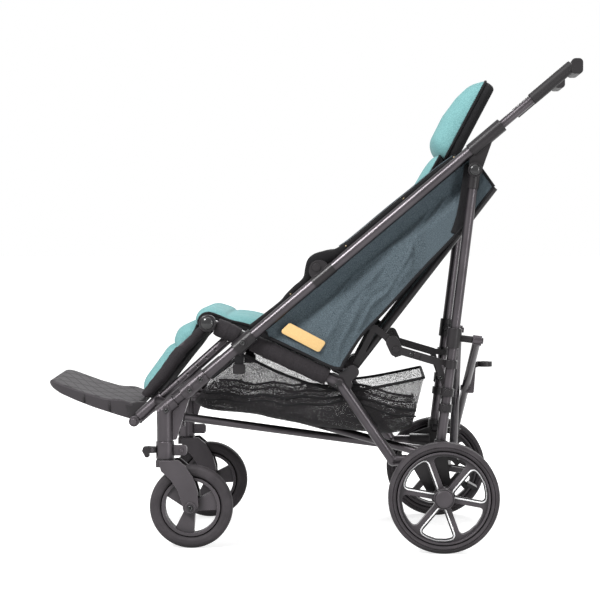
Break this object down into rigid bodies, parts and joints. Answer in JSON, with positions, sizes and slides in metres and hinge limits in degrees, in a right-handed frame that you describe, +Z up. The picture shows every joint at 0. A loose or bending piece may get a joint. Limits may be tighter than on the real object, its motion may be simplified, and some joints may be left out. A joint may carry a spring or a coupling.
{
  "type": "special needs buggy",
  "caption": "Special needs buggy with umbrella-folding side frames, swivel casters, reclining padded seat, sliding footrest and mesh basket.",
  "frame": {"origin": "centre of the footprint's bounding box, on the floor", "axes": "+Z up, the buggy faces -X, +Y is the sitter's right"},
  "size_m": [1.233, 0.628, 1.1095],
  "materials": {
    "frame": "satin graphite powder coat",
    "fitting": "matt black moulded plastic",
    "grip": "soft matt black",
    "knob": "glossy black",
    "wrap": "black woven padding",
    "tyre": "dark grey foam tyre",
    "rim": "satin dark grey",
    "trim": "silver white line",
    "plate": "matt black moulded plastic",
    "teal": "heathered teal woven",
    "panel": "heathered slate woven",
    "net": "black mesh"
  },
  "bodies": {
    "frame_left": {"main_tube_left": "frame", "seat_leg_left": "frame", "rear_post_left": "frame", "handle_grip_left": "grip", "frame_joints_left": "fitting", "caster_bracket_left": "frame", "axle_bracket_left": "fitting", "knee_hub_left": "knob", "tube_wrap_left": "wrap", "side_panel_left": "panel", "seat_cushion": "teal", "basket": "net"},
    "caster_left": {"fork_left": "rim"},
    "front_wheel_left": {"front_tyre_left": "tyre", "front_rim_left": "rim"},
    "lock_left": {"lock_lever_left": "fitting"},
    "rear_wheel_left": {"rear_tyre_left": "tyre", "rear_rim_left": "rim", "rear_trim_left": "trim"},
    "foot_left": {"foot_tube_left": "frame"},
    "calf_left": {"calf_frame_left": "frame", "calf_pad": "teal"},
    "back_left": {"back_frame_left": "fitting", "side_liner_left": "teal", "back_cushion": "teal", "headrest": "teal", "shell_back": "panel"},
    "brace_left": {"x_tube_left": "frame"},
    "slider_left": {"x_sleeve_left": "fitting"},
    "lower_left": {"lower_tube_left": "frame"},
    "brake_left": {"brake_pedal_left": "fitting"},
    "frame_right": {"main_tube_right": "frame", "seat_leg_right": "frame", "rear_post_right": "frame", "handle_grip_right": "grip", "frame_joints_right": "fitting", "caster_bracket_right": "frame", "axle_bracket_right": "fitting", "knee_hub_right": "knob", "tube_wrap_right": "wrap", "side_panel_right": "panel"},
    "caster_right": {"fork_right": "rim"},
    "front_wheel_right": {"front_tyre_right": "tyre", "front_rim_right": "rim"},
    "lock_right": {"lock_lever_right": "fitting"},
    "rear_wheel_right": {"rear_tyre_right": "tyre", "rear_rim_right": "rim", "rear_trim_right": "trim"},
    "foot_right": {"foot_tube_right": "frame"},
    "calf_right": {"calf_frame_right": "frame"},
    "back_right": {"back_frame_right": "fitting", "side_liner_right": "teal"},
    "brace_right": {"x_tube_right": "frame"},
    "slider_right": {"x_sleeve_right": "fitting"},
    "lower_right": {"lower_tube_right": "frame"},
    "brake_right": {"brake_pedal_right": "fitting"},
    "foot_plate": {"footplate": "plate"},
    "pull_ring": {"ring_lever": "fitting"}
  },
  "joints": [
    {"name": "fold", "type": "slide", "parent": "frame_left", "child": "frame_right", "axis": [0, -1, 0], "range_m": [0, 0.26], "deforming": ["seat_cushion", "back_cushion", "headrest", "shell_back", "calf_pad", "basket"]},
    {"name": "recline_left", "type": "hinge", "parent": "frame_left", "child": "back_left", "pos_m": [0.0995, -0.178, 0.401], "axis": [0, 1, 0], "range_deg": [-5, 10], "deforming": ["side_panel_left"]},
    {"name": "calf_left", "type": "hinge", "parent": "frame_left", "child": "calf_left", "pos_m": [-0.2295, -0.168, 0.513], "axis": [0, 1, 0], "range_deg": [0, 40]},
    {"name": "foot_slide_left", "type": "slide", "parent": "frame_left", "child": "foot_left", "axis": [-0.7466, 0, -0.6652], "range_m": [0, 0.14]},
    {"name": "swivel_left", "type": "hinge", "parent": "frame_left", "child": "caster_left", "pos_m": [-0.3265, -0.235, 0.25], "axis": [0, 0, 1], "continuous": true},
    {"name": "front_roll_left", "type": "hinge", "parent": "caster_left", "child": "front_wheel_left", "pos_m": [-0.2665, -0.235, 0.095], "axis": [0, 1, 0], "continuous": true},
    {"name": "rear_roll_left", "type": "hinge", "parent": "frame_left", "child": "rear_wheel_left", "pos_m": [0.3065, -0.285, 0.125], "axis": [0, 1, 0], "continuous": true},
    {"name": "lock_left", "type": "hinge", "parent": "frame_left", "child": "lock_left", "pos_m": [-0.3545, -0.235, 0.224], "axis": [0, 1, 0], "range_deg": [0, 30]},
    {"name": "brake_left", "type": "hinge", "parent": "frame_left", "child": "brake_left", "pos_m": [0.3425, -0.22, 0.16], "axis": [0, 1, 0], "range_deg": [0, 20]},
    {"name": "brace_left", "type": "hinge", "parent": "frame_left", "child": "brace_left", "pos_m": [0.32988, -0.215, 0.2243], "axis": [0.9927, 0, -0.1209], "range_deg": [0, 39.65]},
    {"name": "slider_left", "type": "slide", "parent": "frame_left", "child": "slider_left", "axis": [0.1209, 0, 0.9927], "range_m": [0, 0.2161]},
    {"name": "lower_left", "type": "hinge", "parent": "frame_left", "child": "lower_left", "pos_m": [-0.2975, -0.198, 0.309], "axis": [0, 0, -1], "range_deg": [0, 23.12]},
    {"name": "recline_right", "type": "hinge", "parent": "frame_right", "child": "back_right", "pos_m": [0.0995, 0.178, 0.401], "axis": [0, 1, 0], "range_deg": [-5, 10], "deforming": ["side_panel_right"]},
    {"name": "calf_right", "type": "hinge", "parent": "frame_right", "child": "calf_right", "pos_m": [-0.2295, 0.168, 0.513], "axis": [0, 1, 0], "range_deg": [0, 40]},
    {"name": "foot_slide_right", "type": "slide", "parent": "frame_right", "child": "foot_right", "axis": [-0.7466, 0, -0.6652], "range_m": [0, 0.14]},
    {"name": "swivel_right", "type": "hinge", "parent": "frame_right", "child": "caster_right", "pos_m": [-0.3265, 0.235, 0.25], "axis": [0, 0, 1], "continuous": true},
    {"name": "front_roll_right", "type": "hinge", "parent": "caster_right", "child": "front_wheel_right", "pos_m": [-0.2665, 0.235, 0.095], "axis": [0, 1, 0], "continuous": true},
    {"name": "rear_roll_right", "type": "hinge", "parent": "frame_right", "child": "rear_wheel_right", "pos_m": [0.3065, 0.285, 0.125], "axis": [0, 1, 0], "continuous": true},
    {"name": "lock_right", "type": "hinge", "parent": "frame_right", "child": "lock_right", "pos_m": [-0.3545, 0.235, 0.224], "axis": [0, 1, 0], "range_deg": [0, 30]},
    {"name": "brake_right", "type": "hinge", "parent": "frame_right", "child": "brake_right", "pos_m": [0.3425, 0.22, 0.16], "axis": [0, 1, 0], "range_deg": [0, 20]},
    {"name": "brace_right", "type": "hinge", "parent": "frame_right", "child": "brace_right", "pos_m": [0.35271, 0.215, 0.22152], "axis": [-0.9927, 0, 0.1209], "range_deg": [0, 39.65]},
    {"name": "slider_right", "type": "slide", "parent": "frame_right", "child": "slider_right", "axis": [0.1209, 0, 0.9927], "range_m": [0, 0.2161]},
    {"name": "lower_right", "type": "hinge", "parent": "frame_right", "child": "lower_right", "pos_m": [-0.2975, 0.198, 0.309], "axis": [0, 0, 1], "range_deg": [0, 23.12]},
    {"name": "plate_flip", "type": "hinge", "parent": "foot_left", "child": "foot_plate", "pos_m": [-0.4048, -0.142, 0.28274], "axis": [0, -1, 0], "range_deg": [-45, 0]},
    {"name": "ring_pull", "type": "hinge", "parent": "brace_right", "child": "pull_ring", "pos_m": [0.3865, 0, 0.402], "axis": [0, -1, 0], "range_deg": [0, 30]}
  ],
  "couplings": [
    {"joint": "brace_left", "follows": "fold", "rad_per_m": 2.6483},
    {"joint": "slider_left", "follows": "fold", "ratio": 0.82743},
    {"joint": "lower_left", "follows": "fold", "rad_per_m": 1.5386},
    {"joint": "brace_right", "follows": "fold", "rad_per_m": 2.6483},
    {"joint": "slider_right", "follows": "fold", "ratio": 0.82743},
    {"joint": "lower_right", "follows": "fold", "rad_per_m": 1.5386},
    {"joint": "recline_right", "follows": "recline_left", "ratio": 1},
    {"joint": "calf_right", "follows": "calf_left", "ratio": 1},
    {"joint": "foot_slide_right", "follows": "foot_slide_left", "ratio": 1}
  ]
}
